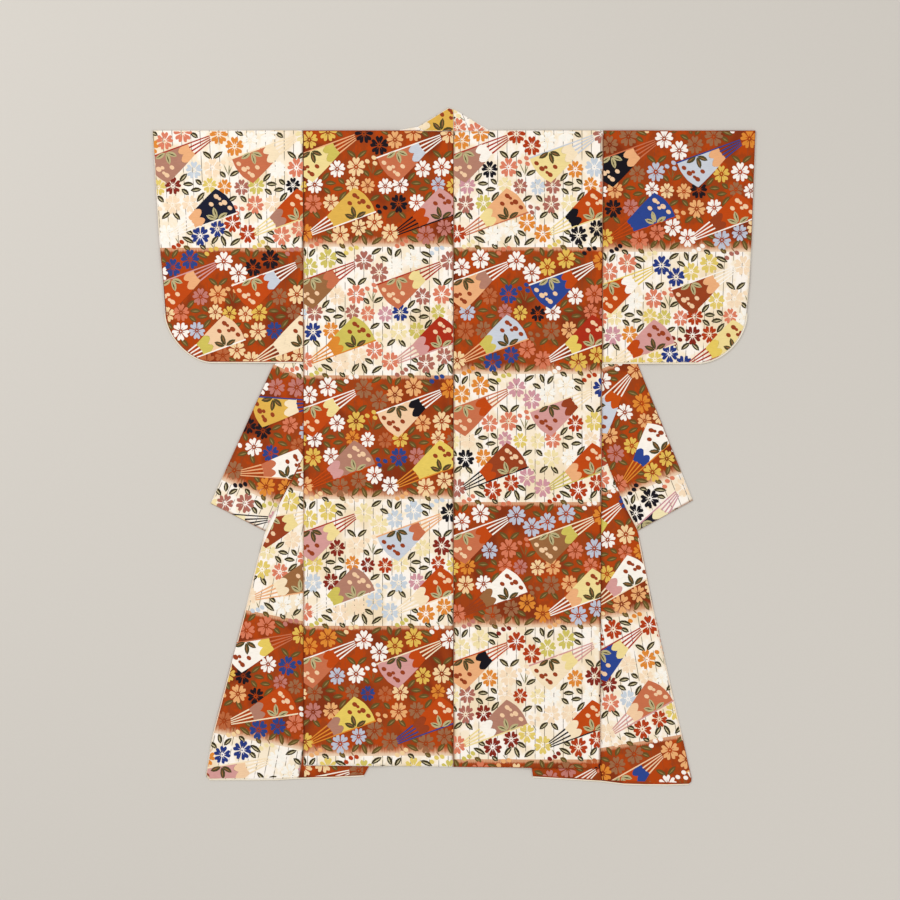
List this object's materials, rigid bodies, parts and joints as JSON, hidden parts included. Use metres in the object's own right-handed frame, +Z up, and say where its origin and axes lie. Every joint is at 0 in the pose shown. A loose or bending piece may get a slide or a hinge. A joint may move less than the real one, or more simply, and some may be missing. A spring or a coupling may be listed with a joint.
{
  "type": "noh robe",
  "caption": "Noh theatre robe of brocaded silk with fans and flowers on alternating red and cream blocks, laid flat with its back up.",
  "frame": {"origin": "centre of the bounding box on the surface that the robe lies on", "axes": "+Z up off the surface, out of the back of the robe; +Y from the hem to the collar; +X to the right as the back is seen"},
  "size_m": [1.4032, 1.5779, 0.0054],
  "materials": {
    "brocade": "brocaded silk twill with raised floats, soft sheen",
    "lining": "plain silk, matt"
  },
  "bodies": {
    "root": {"body_left": "brocade", "sleeve_left": "brocade", "collar_left": "brocade", "okumi_left": "brocade", "sleeve_lining_left": "lining", "hem_lining_left": "lining", "body_right": "brocade", "sleeve_right": "brocade", "collar_right": "brocade", "okumi_right": "brocade", "sleeve_lining_right": "lining", "hem_lining_right": "lining"}
  },
  "joints": []
}
